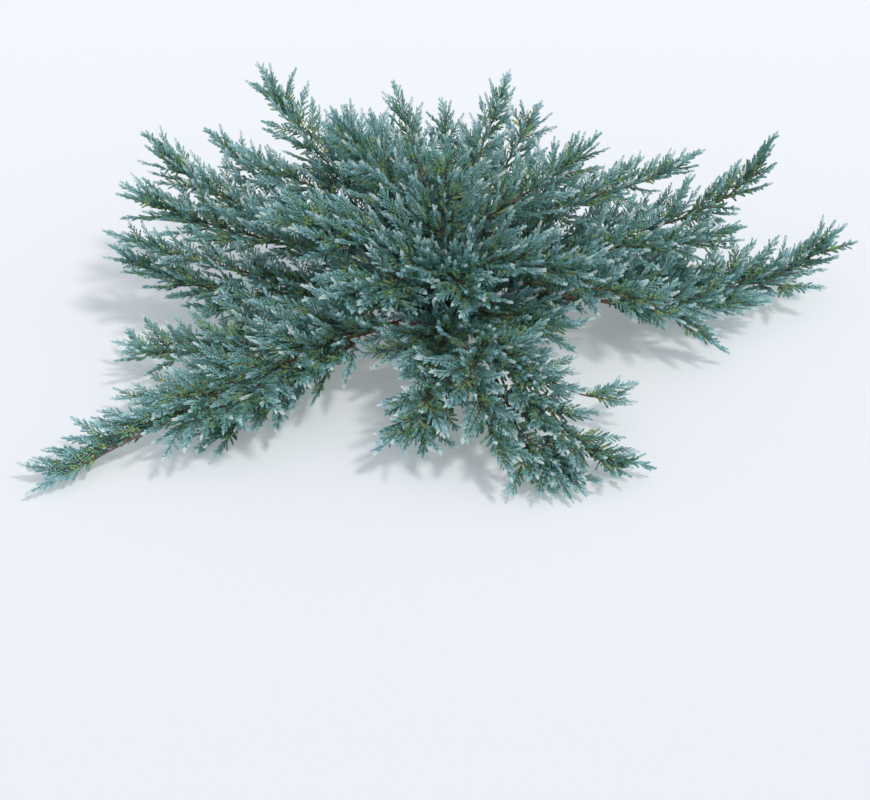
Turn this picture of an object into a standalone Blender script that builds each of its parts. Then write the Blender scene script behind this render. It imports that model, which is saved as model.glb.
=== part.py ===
"""A blue chip juniper: a low, spreading shrub that is rooted in the ground.

A short trunk carries arching boughs. Each bough is bare near the trunk and ends
in a fork, from which masses of foliage run on to the named tips. Steeper masses
rise from the top of the trunk and fill the crown. The ground is the plane z = 0,
and the viewer's side is -Y. Lengths are in metres and angles in degrees.
"""

import math
import random
from collections import namedtuple

import bmesh
import bpy
from mathutils import Matrix, Vector
from mathutils.bvhtree import BVHTree

# Clearances
GAP = 0.0003
SPACE_OVERREACH = 0.008
FLOOR_CLEARANCE = 0.002
WELD_DISTANCE = 0.000002

# Trunk
TRUNK_HEIGHT = 0.100
TRUNK_RADIUS = 0.0195
TRUNK_FORK_SWELL = 0.0035
ROOT_FLARE = 0.014
ROOT_FLARE_HEIGHT = 0.016
ROOT_LOBES = 5
ROOT_LOBE_DEPTH = 0.16
TRUNK_LEAN = Vector((-0.09, 0.05))
TRUNK_SIDES = 16
TRUNK_RINGS = 8
TRUNK_RING_CROWDING = 1.5
TRUNK_TOP_RADIUS = 0.0165

# Boughs
BOUGH_SIDES = 6
BOUGH_RINGS = 5
BOUGH_ROOT_RADIUS = 0.0068
BOUGH_TIP_RADIUS = 0.0040
BOUGH_BOW = 0.36
REACH_OF_FULL_RADIUS = 0.60
LEAST_BOUGH_SIZE = 0.62

# Stems and twigs of the masses
STEM_RADIUS = 0.0028
STEM_TIP_RADIUS = 0.0011
STEM_SIDES = 4
STEM_STEPS = 4
STEM_SAMPLES = 24
STEM_IN_LAST_SPRAY = 0.1
FORK_SPACING = 0.012
FORK_LOOK_BACK = 0.1
FORK_FORWARD = 0.5
FORK_ACROSS = 0.62
FORK_LIFT = 0.25
FORK_BOW = 0.34
SWING_OF_FORWARD = 60
SWING_OF_DOUBLE_BOW = 110
CROWN_RING_RADIUS = 0.0105
CROWN_BOW = 0.40
CROWN_RISE = 72
CROWN_ARRIVE = 38
TWIG_ROOT_RADIUS = 0.0018
TWIG_END_RADIUS = 0.0010

# Sprays of needles
SPRAY_LENGTH = 0.114
SPRAY_WIDTH = 0.66
SPRAY_ROOT_WIDTH = 0.020
SPRAY_THICKNESS = 0.028
SPRAY_SPREAD = (0.92, 1.1)
SPRAY_SHRINKS = (1.0, 0.84, 0.70, 0.58)
SHORTEST_SPRAY = 0.058
TIP_ROLLS = (0, 30, -30, 60, -60, 90)
TIP_TEETH = 3
TWIG_TEETH = 2
TEETH_SPAN = 0.84
TOOTH_START = 0.06
TOOTH_REACH = 0.94
TOOTH_TAPER = 0.34
LAST_TOOTH = 0.86
NOTCH_WIDTH = 0.36
RIB_START = 0.10

# Twigs, and the sprays on them
TWIG_SPACING = 0.0350
TWIG_SPACING_SPREAD = (0.85, 1.15)
FIRST_TWIG = (0.4, 0.9)
END_ROOM = 0.55
TWIG_OPENING = 46
TWIG_CLOSING = 24
TWIG_OPENING_SPREAD = 8
TWIG_TURNS = (96, -96, 30, -78, 78, -30)
TWIG_TURN_SPREAD = 14
TWIG_LIFT = 0.12
TO_LIGHT = Vector((0, -0.20, 0.02))
LONGEST_TWIG = 0.155
TWIG_SHARE = 0.46
TWIG_LENGTH_SPREAD = (0.85, 1.15)
TWIG_TAPER = 0.66
TWIG_POINT = 0.90
UPRIGHT_CUT = 0.45
TWIG_ROLL = 35
HEIGHT_OF_FREE_ROLL = 0.060
LOWEST_TIP = 0.010
BRANCHED_FROM = 1.12
SPRAY_OVERLAP = 0.004
SIDE_SPRAY_START = 0.025
SIDE_SPRAY_SPACING = 0.060
SIDE_SPRAY_SIZE = 0.72
SIDE_SPRAY_END = 0.8
ONE_SIDED_MASS = "foliage_front_left"
ONE_SIDED_FROM = 0.56
GAP_SHARE = 0.8
SEED = 20

Tip = namedtuple("Tip", "azimuth reach height swing girth", defaults=(0, 1.0))
Bough = namedtuple("Bough", "name leave attach rise tip arrive bare sides")
Gap = namedtuple("Gap", "azimuth half_width nearest furthest height")

# Each bough leaves the trunk at an azimuth, a height and a rise, and ends at its tip.
# Its last direction swings from the tip's azimuth, and climbs or falls by arrive.
# It is bare up to the share bare, where the side masses fork off towards their own tips.
# A tip's girth is the length of its mass's twigs, as a share of the usual.
BOUGHS = (
    Bough("front_left", 238, 0.046, 30, Tip(216, 0.736, 0.014, 5, 0.85), -3, 0.26,
          (Tip(222, 0.494, 0.014, 16, 0.8), Tip(203, 0.550, 0.028, -26, 0.75),
           Tip(189, 0.530, 0.045, -18, 0.8))),
    Bough("left_low", 194, 0.070, 18, Tip(171, 0.558, 0.125, -16, 0.8), 30, 0.18,
          (Tip(180, 0.422, 0.060, 0, 0.6),)),
    Bough("left", 160, 0.044, 36, Tip(163, 0.557, 0.190, 2), 28, 0.18,
          (Tip(174, 0.550, 0.165, 4, 0.6),)),
    Bough("left_back", 150, 0.074, 30, Tip(154, 0.560, 0.245, -4, 0.8), 46, 0.18,
          (Tip(148, 0.422, 0.235, 0, 0.6),)),
    Bough("back_left", 128, 0.050, 46, Tip(131, 0.485, 0.315, -4, 0.7), 44, 0.18,
          (Tip(142, 0.519, 0.215, 0, 0.5), Tip(120, 0.386, 0.240))),
    Bough("back", 98, 0.072, 40, Tip(101, 0.430, 0.150, 8), 4, 0.18,
          (Tip(113, 0.325, 0.262, 0, 0.8), Tip(91, 0.377, 0.245, 0, 0.45))),
    Bough("back_right", 66, 0.048, 44, Tip(67, 0.424, 0.235, -6, 0.6), 24, 0.18,
          (Tip(80, 0.340, 0.230, 0, 0.65), Tip(55, 0.379, 0.190, 0, 0.8))),
    Bough("right_back", 32, 0.074, 20, Tip(21, 0.579, 0.266, 6, 0.75), 74, 0.20,
          (Tip(37, 0.414, 0.200, 0, 0.5), Tip(25, 0.466, 0.240, 0, 0.5))),
    Bough("right", 12, 0.048, 14, Tip(14.5, 0.689, 0.115, 8), 48, 0.20,
          (Tip(12, 0.497, 0.150, 0, 0.8), Tip(2, 0.525, 0.060, -15, 0.9))),
    Bough("right_low", 352, 0.076, 28, Tip(350, 0.454, 0.026, -12, 0.5), -34, 0.22,
          (Tip(355, 0.372, 0.060, -25, 0.8),)),
    Bough("front_right", 318, 0.050, 38, Tip(324, 0.250, 0.070), -24, 0.24,
          (Tip(331, 0.224, 0.095),)),
    Bough("front", 290, 0.078, 32, Tip(290, 0.463, 0.014, 4, 1.05), -4, 0.42,
          (Tip(282, 0.454, 0.050), Tip(309, 0.482, 0.020, 42, 0.65), Tip(327, 0.349, 0.045, 62, 0.55),
           Tip(295, 0.475, 0.014, 14, 0.95))),
    Bough("front_middle", 270, 0.050, 34, Tip(255, 0.390, 0.045, -50, 0.85), -18, 0.30,
          (Tip(265, 0.367, 0.032), Tip(241, 0.228, 0.075, 0, 1.3))),
)

# The tips of the masses that rise from the trunk's top, the first one in its middle
CROWN_TIPS = (
    Tip(89, 0.131, 0.300),
    Tip(71, 0.324, 0.330, 0, 0.5),
    Tip(40, 0.330, 0.262, 0, 0.7),
    Tip(340, 0.269, 0.200),
    Tip(285, 0.220, 0.205, 0, 1.1),
    Tip(225, 0.261, 0.190, 0, 1.1),
    Tip(182, 0.290, 0.245),
    Tip(132, 0.278, 0.310, 0, 0.8),
    Tip(108, 0.276, 0.330, 7, 0.45),
)

# Wedges near the ground that no spray ends in
GAPS = (
    Gap(244, 6, 0.25, 0.40, 0.13),
    Gap(250, 5, 0.20, 0.33, 0.09),
    Gap(277, 5, 0.34, 0.44, 0.07),
    Gap(308, 4, 0.34, 0.42, 0.08),
    Gap(318, 9, 0.21, 0.34, 0.11),
    Gap(351, 17, 0.225, 0.32, 0.10),
)

BARK = (0.115, 0.062, 0.040)
BOUGH_BARK = (0.150, 0.080, 0.052)
NEEDLES = ((0.075, 0.190, 0.165), (0.055, 0.150, 0.130), (0.100, 0.230, 0.205))

Mass = namedtuple("Mass", "name stem face girth")
Spray = namedtuple("Spray", "root along flat length teeth")


def toward(azimuth, rise):
    """Unit direction of an azimuth and a rise above the horizontal."""
    level = math.cos(math.radians(rise))
    return Vector((
        level * math.cos(math.radians(azimuth)),
        level * math.sin(math.radians(azimuth)),
        math.sin(math.radians(rise)),
    ))


def tip_point(tip):
    """Place of a named tip."""
    return toward(tip.azimuth, 0) * tip.reach + Vector((0, 0, tip.height))


def in_gap(point):
    """Whether a point is in one of the gaps."""
    azimuth = math.degrees(math.atan2(point.y, point.x))
    reach = math.hypot(point.x, point.y)
    for gap in GAPS:
        apart = abs((azimuth - gap.azimuth + 180) % 360 - 180)
        if apart < gap.half_width and point.z < gap.height and gap.nearest < reach < gap.furthest:
            return True
    return False


def bezier(start, handle_out, handle_in, end, t):
    """Point at t on a cubic Bezier curve."""
    s = 1 - t
    return s ** 3 * start + 3 * s * s * t * handle_out + 3 * s * t * t * handle_in + t ** 3 * end


def curve(start, leave, arrive, end):
    """Points on the curve that leaves and arrives by two handles."""
    shares = [i / STEM_SAMPLES for i in range(STEM_SAMPLES + 1)]
    return [bezier(start, start + leave, end - arrive, end, share) for share in shares]


def trunk_axis(height):
    """Centre of the leaning trunk at a height."""
    return Vector((TRUNK_LEAN.x * height, TRUNK_LEAN.y * height, height))


def trunk_radius(height, angle):
    """Radius of the trunk with its lobed root flare and the swelling at its fork."""
    flare = math.exp(-height / ROOT_FLARE_HEIGHT)
    lobes = 1 + ROOT_LOBE_DEPTH * flare * math.cos(ROOT_LOBES * angle)
    swell = TRUNK_FORK_SWELL * math.sin(math.pi * min(1, height / TRUNK_HEIGHT)) ** 2
    return (TRUNK_RADIUS + ROOT_FLARE * flare + swell) * lobes


def bough_start(bough):
    """Centre of a bough's root face, just clear of the trunk's skin over the face's height."""
    outward = toward(bough.leave, 0)
    angle = math.radians(bough.leave)
    centre = trunk_axis(bough.attach)
    skin = 0
    for share in (-1, -0.5, 0, 0.5, 1):
        height = bough.attach + share * BOUGH_ROOT_RADIUS
        lean = (trunk_axis(height) - centre).dot(outward)
        skin = max(skin, lean + trunk_radius(height, angle))
    return centre + outward * (skin + GAP)


def bough_route(bough, t):
    """Point at t on a bough's whole route, from the trunk's skin to its tip."""
    start = bough_start(bough)
    end = tip_point(bough.tip)
    handle = BOUGH_BOW * (end - start).length
    leave = toward(bough.leave, bough.rise) * handle
    arrive = toward(bough.tip.azimuth + bough.tip.swing, bough.arrive) * handle
    return bezier(start, start + leave, end - arrive, end, t)


def bough_radius(bough, share):
    """Radius of a bough, thinner on the short ones and towards its fork."""
    size = LEAST_BOUGH_SIZE + (1 - LEAST_BOUGH_SIZE) * min(1, bough.tip.reach / REACH_OF_FULL_RADIUS)
    return size * (BOUGH_ROOT_RADIUS + (BOUGH_TIP_RADIUS - BOUGH_ROOT_RADIUS) * share)


def polyline_length(points):
    """Length of a line through points."""
    return sum((b - a).length for a, b in zip(points, points[1:]))


def frame_of(along, up=Vector((0, 0, 1))):
    """Side and upper direction square to a direction."""
    side = along.cross(up)
    if side.length < 1e-6:
        side = Vector((1, 0, 0))
    side.normalize()
    return side, side.cross(along).normalized()


def make_mesh(name, vertices, faces):
    """Mesh from vertices and faces, with outward normals."""
    mesh = bpy.data.meshes.new(name)
    mesh.from_pydata(vertices, [], faces)
    shape = bmesh.new()
    shape.from_mesh(mesh)
    bmesh.ops.recalc_face_normals(shape, faces=shape.faces)
    bmesh.ops.triangulate(shape, faces=[f for f in shape.faces if len(f.verts) > 4])
    shape.to_mesh(mesh)
    shape.free()
    return mesh


def tube(points, radii, sides, first_normal=None, closed_point=False):
    """Vertices and faces of a tapering limb through points, flat-ended or pointed at its end."""
    vertices = []
    faces = []
    for index, (point, radius) in enumerate(zip(points, radii)):
        before = points[max(0, index - 1)]
        after = points[min(len(points) - 1, index + 1)]
        side, upper = frame_of((after - before).normalized())
        if index == 0 and first_normal is not None:
            upper = side.cross(first_normal)
        for step in range(sides):
            angle = 2 * math.pi * step / sides
            vertices.append(point + radius * (math.cos(angle) * side + math.sin(angle) * upper))
    for ring in range(len(points) - 1):
        for step in range(sides):
            a = ring * sides + step
            b = ring * sides + (step + 1) % sides
            faces.append((a, b, b + sides, a + sides))
    faces.append(tuple(reversed(range(sides))))
    last = (len(points) - 1) * sides
    if closed_point:
        end = points[-1] + (points[-1] - points[-2]).normalized() * radii[-1] * 3
        vertices.append(end)
        tip = len(vertices) - 1
        faces += [(last + step, last + (step + 1) % sides, tip) for step in range(sides)]
    else:
        faces.append(tuple(range(last, last + sides)))
    return vertices, faces


def spray_shape(spray):
    """Vertices and faces of a spray of needles: a toothed blade, thick along its rib."""
    length = spray.length
    side = spray.flat.cross(spray.along).normalized()
    half_width = SPRAY_WIDTH * length / 2
    half_thickness = SPRAY_THICKNESS * length / 2
    pitch = TEETH_SPAN / spray.teeth

    def place(x, y, z):
        """World point of the blade's own coordinates."""
        return spray.root + spray.along * x + side * y + spray.flat * z

    outline = [(0.0, SPRAY_ROOT_WIDTH * length / 2)]
    for tooth in range(spray.teeth):
        width = half_width * (1 - TOOTH_TAPER * tooth)
        reach = TOOTH_START + pitch * (tooth + TOOTH_REACH)
        outline.append((length * min(LAST_TOOTH, reach), width))
        if tooth < spray.teeth - 1:
            outline.append((length * (reach - TOOTH_START), width * NOTCH_WIDTH))
    vertices = [place(x, y, 0) for x, y in outline]
    vertices += [place(x, -y, 0) for x, y in outline]
    vertices.append(place(length, 0, 0))
    count = len(outline)
    end = 2 * count
    for tooth in range(spray.teeth):
        x = length * (RIB_START + pitch * tooth)
        vertices.append(place(x, 0, half_thickness))
        vertices.append(place(x, 0, -half_thickness))
    faces = []
    for face in (0, 1):
        for half in (0, 1):
            start = half * count
            for tooth in range(spray.teeth):
                top = end + 1 + 2 * tooth + face
                notch = start + 2 * tooth
                faces.append((top, notch, notch + 1))
                if tooth < spray.teeth - 1:
                    faces.append((top, notch + 1, notch + 2))
                    faces.append((top, notch + 2, top + 2))
                else:
                    faces.append((top, notch + 1, end))
        faces.append((end + 1 + face, 0, count))
    return vertices, faces


def resample(points, count):
    """Evenly spaced points on a line through points."""
    spans = [(b - a).length for a, b in zip(points, points[1:])]
    total = sum(spans)
    result = []
    for index in range(count):
        target = total * index / (count - 1)
        for start, end, span in zip(points, points[1:], spans):
            if target <= span or end is points[-1]:
                result.append(start.lerp(end, min(1, target / span)))
                break
            target -= span
    return result


def point_at(points, distance):
    """Point and direction at a distance along a line through points."""
    for start, end in zip(points, points[1:]):
        span = (end - start).length
        if distance <= span or end is points[-1]:
            return start.lerp(end, min(1, distance / span)), (end - start).normalized()
        distance -= span
    return points[-1], (points[-1] - points[-2]).normalized()


def fork_direction(bough):
    """Direction that the end face of a bough looks in."""
    before = bough_route(bough, bough.bare * (BOUGH_RINGS - 2) / (BOUGH_RINGS - 1))
    return (bough_route(bough, bough.bare) - before).normalized()


def axial_stem(bough):
    """Stem that carries a bough on from its fork to its tip."""
    shares = [bough.bare + (1 - bough.bare) * i / STEM_SAMPLES for i in range(STEM_SAMPLES + 1)]
    route = [bough_route(bough, share) for share in shares]
    route[0] = route[0] + fork_direction(bough) * GAP
    return resample(route, STEM_STEPS + 1)


def fork_stem(bough, number, tip):
    """Stem of a side mass, from beside the end of a bough to the mass's own tip."""
    length = (bough_route(bough, bough.bare) - bough_route(bough, 0)).length
    share = 1 - FORK_SPACING * (number - 0.5) / length
    fork = bough_route(bough, bough.bare * share)
    along = (fork - bough_route(bough, bough.bare * (share - FORK_LOOK_BACK))).normalized()
    end = tip_point(tip)
    away = (end - fork).normalized()
    across = (away - along * away.dot(along)).normalized()
    forward = FORK_FORWARD + abs(tip.swing) / SWING_OF_FORWARD
    leave = (along * forward + across * FORK_ACROSS).normalized()
    start = fork + across * (bough_radius(bough, share) + STEM_RADIUS) + leave * GAP
    handle = FORK_BOW * (end - start).length * (1 + abs(tip.swing) / SWING_OF_DOUBLE_BOW)
    rise = Vector((0, 0, FORK_LIFT))
    swung = Matrix.Rotation(math.radians(tip.swing), 3, "Z") @ away
    arrive = (swung + rise).normalized() * handle
    return resample(curve(start, (leave + rise) * handle, arrive, end), STEM_STEPS + 1)


def crown_stem(index, tip):
    """Stem that rises from the trunk's top and leans out to its tip."""
    top = trunk_axis(TRUNK_HEIGHT) + Vector((0, 0, GAP))
    if index == 0:
        start = top
    else:
        start = top + toward(tip.azimuth - tip.swing, 0) * CROWN_RING_RADIUS
    end = tip_point(tip)
    handle = CROWN_BOW * (end - start).length
    leave = toward(tip.azimuth - tip.swing, CROWN_RISE) * handle
    arrive = toward(tip.azimuth, CROWN_ARRIVE) * handle
    return resample(curve(start, leave, arrive, end), STEM_STEPS + 1)


def all_masses():
    """Every mass of foliage with its stem."""
    masses = []
    for bough in BOUGHS:
        stem = axial_stem(bough)
        masses.append(Mass("foliage_" + bough.name, stem, fork_direction(bough), bough.tip.girth))
        for number, tip in enumerate(bough.sides, 1):
            name = "foliage_{}_side_{}".format(bough.name, number)
            masses.append(Mass(name, fork_stem(bough, number, tip), None, tip.girth))
    for number, tip in enumerate(CROWN_TIPS):
        name = "foliage_crown_{}".format(number + 1)
        masses.append(Mass(name, crown_stem(number, tip), Vector((0, 0, 1)), tip.girth))
    return masses


def distance_to_line(point, line):
    """Distance from a point to a line through points."""
    best = math.inf
    for start, end in zip(line, line[1:]):
        span = end - start
        t = max(0, min(1, (point - start).dot(span) / span.length_squared))
        best = min(best, (point - start - span * t).length)
    return best


class Space:
    """The room each mass may use, and what already stands in it."""

    def __init__(self, masses):
        """Keep the stems of all masses."""
        self.masses = masses
        self.solid = []

    def add_solid(self, owner, vertices, faces):
        """Remember a solid that belongs to a piece."""
        low = Vector(min(v[i] for v in vertices) for i in range(3))
        high = Vector(max(v[i] for v in vertices) for i in range(3))
        self.solid.append((owner, low, high, BVHTree.FromPolygons(vertices, faces)))

    def is_own(self, mass, vertices):
        """Whether points are nearer to a mass's stem than to any other, but for a small overreach."""
        for point in vertices:
            own = distance_to_line(point, mass.stem) - SPACE_OVERREACH
            for other in self.masses:
                if other is mass:
                    continue
                if distance_to_line(point, other.stem) < own:
                    return False
        return True

    def is_clear(self, mass, vertices, faces):
        """Whether a shape stays above the floor and touches no other piece."""
        if min(v.z for v in vertices) < FLOOR_CLEARANCE:
            return False
        low = Vector(min(v[i] for v in vertices) - 2 * GAP for i in range(3))
        high = Vector(max(v[i] for v in vertices) + 2 * GAP for i in range(3))
        tree = None
        for owner, other_low, other_high, other in self.solid:
            if owner == mass.name:
                continue
            if any(low[i] > other_high[i] or high[i] < other_low[i] for i in range(3)):
                continue
            if tree is None:
                tree = BVHTree.FromPolygons(vertices, faces)
            if tree.overlap(other):
                return False
        return True


def middle_of(vertices):
    """Middle of a shape's points."""
    return [sum(vertices, Vector()) / len(vertices)]


def fitted_spray(space, mass, spray):
    """The spray, smaller where it must be, or None where it has no room."""
    for shrink in SPRAY_SHRINKS:
        trial = spray._replace(length=spray.length * shrink)
        if trial.length < SHORTEST_SPRAY or in_gap(trial.root + trial.along * trial.length * GAP_SHARE):
            continue
        vertices, faces = spray_shape(trial)
        if space.is_clear(mass, vertices, faces) and space.is_own(mass, middle_of(vertices)):
            return vertices, faces
    return None


class Growth:
    """The growth of one mass: a spray at its tip, then twigs one by one along its stem."""

    def __init__(self, space, mass, seed):
        """Start a mass at its root, with its own seed."""
        self.space = space
        self.mass = mass
        self.chance = random.Random(seed)
        self.total = polyline_length(mass.stem)
        self.distance = TWIG_SPACING * self.chance.uniform(*FIRST_TWIG)
        self.step = 0
        self.pieces = []

    def add(self, shape):
        """Keep a shape as a piece of the mass."""
        self.pieces.append(shape)
        self.space.add_solid(self.mass.name, *shape)

    def is_done(self):
        """Whether the next twig would stand in the last spray."""
        return self.distance > self.total - SPRAY_LENGTH * END_ROOM

    def grow_tip(self):
        """Put the last spray on the stem, rolled until it stands clear."""
        end, along = point_at(self.mass.stem, self.total - SPRAY_LENGTH)
        tip = self.mass.stem[-1]
        heading = (tip - end).normalized()
        for roll in TIP_ROLLS:
            flat = Matrix.Rotation(math.radians(roll), 3, heading) @ frame_of(heading)[1]
            shape = spray_shape(Spray(end, heading, flat, (tip - end).length, TIP_TEETH))
            if self.space.is_clear(self.mass, *shape):
                self.add(shape)
                return

    def grow_next(self):
        """Grow the next twig, to the next side of the stem in turn."""
        chance = self.chance
        root, along = point_at(self.mass.stem, self.distance)
        side, upper = frame_of(along)
        share = self.distance / self.total
        turn = TWIG_TURNS[self.step % len(TWIG_TURNS)]
        turn = math.radians(turn + chance.uniform(-TWIG_TURN_SPREAD, TWIG_TURN_SPREAD))
        if self.mass.name == ONE_SIDED_MASS and share > ONE_SIDED_FROM:
            turn = abs(turn)
        outward = side * math.sin(turn) + upper * math.cos(turn)
        opening = TWIG_OPENING - TWIG_CLOSING * share ** 3
        opening = math.radians(opening + chance.uniform(-TWIG_OPENING_SPREAD, TWIG_OPENING_SPREAD))
        heading = along * math.cos(opening) + outward * math.sin(opening)
        heading = (heading + Vector((0, 0, TWIG_LIFT)) + TO_LIGHT).normalized()
        length = min(LONGEST_TWIG, TWIG_SHARE * self.total) * (1 - TWIG_TAPER * share ** 2)
        length *= 1 - UPRIGHT_CUT * max(0, math.cos(turn))
        length = self.mass.girth * min(length, TWIG_POINT * (self.total - self.distance) / math.cos(opening))
        length = max(SHORTEST_SPRAY, length * chance.uniform(*TWIG_LENGTH_SPREAD))
        heading.z = max(heading.z, (LOWEST_TIP - root.z) / length)
        heading.normalize()
        roll = chance.uniform(-TWIG_ROLL, TWIG_ROLL) * min(1, root.z / HEIGHT_OF_FREE_ROLL)
        flat = (along - heading * along.dot(heading)).normalized().cross(heading)
        flat = (Matrix.Rotation(math.radians(roll), 3, heading) @ flat).normalized()
        for shape in grow_twig(self.space, self.mass, root, heading, flat, length, chance):
            self.add(shape)
        self.distance += TWIG_SPACING * chance.uniform(*TWIG_SPACING_SPREAD)
        self.step += 1


def grow_twig(space, mass, root, heading, flat, length, chance):
    """One twig with its sprays, or only its end spray where the twig is short."""
    spray_length = min(length, SPRAY_LENGTH * chance.uniform(*SPRAY_SPREAD))
    if length < SPRAY_LENGTH * BRANCHED_FROM:
        shape = fitted_spray(space, mass, Spray(root, heading, flat, spray_length, TWIG_TEETH))
        return [shape] if shape else []
    end = root + heading * (length - spray_length)
    start = end - heading * SPRAY_OVERLAP
    shape = fitted_spray(space, mass, Spray(start, heading, flat, spray_length, TWIG_TEETH))
    twig = tube([root, end], [TWIG_ROOT_RADIUS, TWIG_END_RADIUS], 3, closed_point=True)
    if not shape or not space.is_clear(mass, *twig):
        shorter = Spray(root, heading, flat, SPRAY_LENGTH, TWIG_TEETH)
        shape = fitted_spray(space, mass, shorter)
        return [shape] if shape else []
    pieces = [twig, shape]
    across = flat.cross(heading).normalized()
    hand = chance.choice((-1, 1))
    distance = SIDE_SPRAY_START
    while distance < length - spray_length * SIDE_SPRAY_END:
        opening = math.radians(TWIG_OPENING)
        along = heading * math.cos(opening) + across * hand * math.sin(opening)
        start = root + heading * distance
        spray = Spray(start, along.normalized(), flat, spray_length * SIDE_SPRAY_SIZE, TWIG_TEETH)
        side_shape = fitted_spray(space, mass, spray)
        if side_shape:
            pieces.append(side_shape)
        hand = -hand
        distance += SIDE_SPRAY_SPACING
    return pieces


def new_material(name, colour, roughness):
    """Plain material of one colour."""
    material = bpy.data.materials.new(name)
    material.use_nodes = True
    shader = material.node_tree.nodes["Principled BSDF"]
    shader.inputs["Base Color"].default_value = (*colour, 1)
    shader.inputs["Roughness"].default_value = roughness
    return material


def add_object(name, vertices, faces, material=None, collection=None):
    """Object with a mesh, in a collection."""
    mesh = make_mesh(name, vertices, faces)
    piece = bpy.data.objects.new(name, mesh)
    if material:
        mesh.materials.append(material)
    (collection or bpy.context.scene.collection).objects.link(piece)
    return piece


def make_trunk(space):
    """Short leaning trunk with a root flare, cut flat at the ground and at its top."""
    vertices = []
    faces = []
    shares = [i / (TRUNK_RINGS - 1) for i in range(TRUNK_RINGS)]
    heights = [TRUNK_HEIGHT * share ** TRUNK_RING_CROWDING for share in shares]
    for height in heights:
        centre = trunk_axis(height)
        for step in range(TRUNK_SIDES):
            angle = 2 * math.pi * step / TRUNK_SIDES
            radius = trunk_radius(height, angle)
            if height == heights[-1]:
                radius = TRUNK_TOP_RADIUS
            vertices.append(centre + Vector((math.cos(angle), math.sin(angle), 0)) * radius)
    for ring in range(TRUNK_RINGS - 1):
        for step in range(TRUNK_SIDES):
            a = ring * TRUNK_SIDES + step
            b = ring * TRUNK_SIDES + (step + 1) % TRUNK_SIDES
            faces.append((a, b, b + TRUNK_SIDES, a + TRUNK_SIDES))
    faces.append(tuple(reversed(range(TRUNK_SIDES))))
    faces.append(tuple(range(len(vertices) - TRUNK_SIDES, len(vertices))))
    space.add_solid("trunk", vertices, faces)
    return add_object("trunk", vertices, faces, new_material("trunk_bark", BARK, 0.9))


def make_bough(space, bough):
    """Bare arching limb from the trunk's skin to its fork."""
    shares = [i / (BOUGH_RINGS - 1) for i in range(BOUGH_RINGS)]
    points = [bough_route(bough, bough.bare * share) for share in shares]
    radii = [bough_radius(bough, share) for share in shares]
    vertices, faces = tube(points, radii, BOUGH_SIDES, first_normal=toward(bough.leave, 0))
    name = "bough_" + bough.name
    space.add_solid(name, vertices, faces)
    return add_object(name, vertices, faces, new_material(name + "_bark", BOUGH_BARK, 0.85))


def keep_largest_island(shape):
    """Drop loose scraps from a shape."""
    seen = set()
    islands = []
    for vertex in shape.verts:
        if vertex in seen:
            continue
        island = [vertex]
        seen.add(vertex)
        for current in island:
            for edge in current.link_edges:
                other = edge.other_vert(current)
                if other not in seen:
                    seen.add(other)
                    island.append(other)
        islands.append(island)
    islands.sort(key=len)
    scraps = [vertex for island in islands[:-1] for vertex in island]
    bmesh.ops.delete(shape, geom=scraps, context="VERTS")


def clean(mesh):
    """Weld a fused mesh, drop its scraps, and tell whether it is one closed body."""
    shape = bmesh.new()
    shape.from_mesh(mesh)
    bmesh.ops.remove_doubles(shape, verts=shape.verts, dist=WELD_DISTANCE)
    bmesh.ops.triangulate(shape, faces=shape.faces)
    keep_largest_island(shape)
    sound = all(edge.is_manifold for edge in shape.edges) and all(v.is_manifold for v in shape.verts)
    shape.to_mesh(mesh)
    shape.free()
    return sound


def union_of(stem, pieces, solver):
    """Mesh of a stem and its pieces, joined by one Boolean union on a collection."""
    group = bpy.data.collections.new(stem.name + "_pieces")
    bpy.context.scene.collection.children.link(group)
    for number, (vertices, faces) in enumerate(pieces):
        add_object("{}_piece_{}".format(stem.name, number), vertices, faces, collection=group)
    union = stem.modifiers.new("union", "BOOLEAN")
    union.operation = "UNION"
    union.operand_type = "COLLECTION"
    union.collection = group
    union.solver = solver
    union.use_self = solver == "EXACT"
    bpy.context.view_layer.update()
    evaluated = stem.evaluated_get(bpy.context.evaluated_depsgraph_get())
    mesh = bpy.data.meshes.new_from_object(evaluated)
    stem.modifiers.clear()
    for piece in list(group.objects):
        bpy.data.objects.remove(piece)
    bpy.data.collections.remove(group)
    return mesh


def fuse(stem, pieces):
    """Join a mass into one closed body, with fewer sprays where both solvers fail."""
    while True:
        for solver in ("EXACT", "MANIFOLD"):
            mesh = union_of(stem, pieces, solver)
            if clean(mesh) or not pieces:
                stem.data = mesh
                return
        pieces = pieces[:-1]


def stem_shape(mass):
    """Vertices and faces of a mass's stem, which ends inside its last spray."""
    reach = polyline_length(mass.stem) - SPRAY_LENGTH * (1 - STEM_IN_LAST_SPRAY)
    points = [point_at(mass.stem, reach * i / STEM_STEPS)[0] for i in range(STEM_STEPS + 1)]
    radii = [STEM_RADIUS + (STEM_TIP_RADIUS - STEM_RADIUS) * i / STEM_STEPS
             for i in range(STEM_STEPS + 1)]
    return tube(points, radii, STEM_SIDES, first_normal=mass.face, closed_point=True)


def main():
    """Build the trunk, the boughs and the masses."""
    for old in list(bpy.data.objects):
        bpy.data.objects.remove(old)
    masses = all_masses()
    space = Space(masses)
    make_trunk(space)
    for bough in BOUGHS:
        make_bough(space, bough)
    for mass in masses:
        space.add_solid(mass.name, *stem_shape(mass))
    growths = [Growth(space, mass, SEED + number) for number, mass in enumerate(masses)]
    for growth in growths:
        growth.grow_tip()
    while not all(growth.is_done() for growth in growths):
        for growth in growths:
            if not growth.is_done():
                growth.grow_next()
    for number, growth in enumerate(growths):
        name = growth.mass.name
        material = new_material(name + "_green", NEEDLES[number % len(NEEDLES)], 0.7)
        fuse(add_object(name, *stem_shape(growth.mass), material), growth.pieces)


main()
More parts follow.
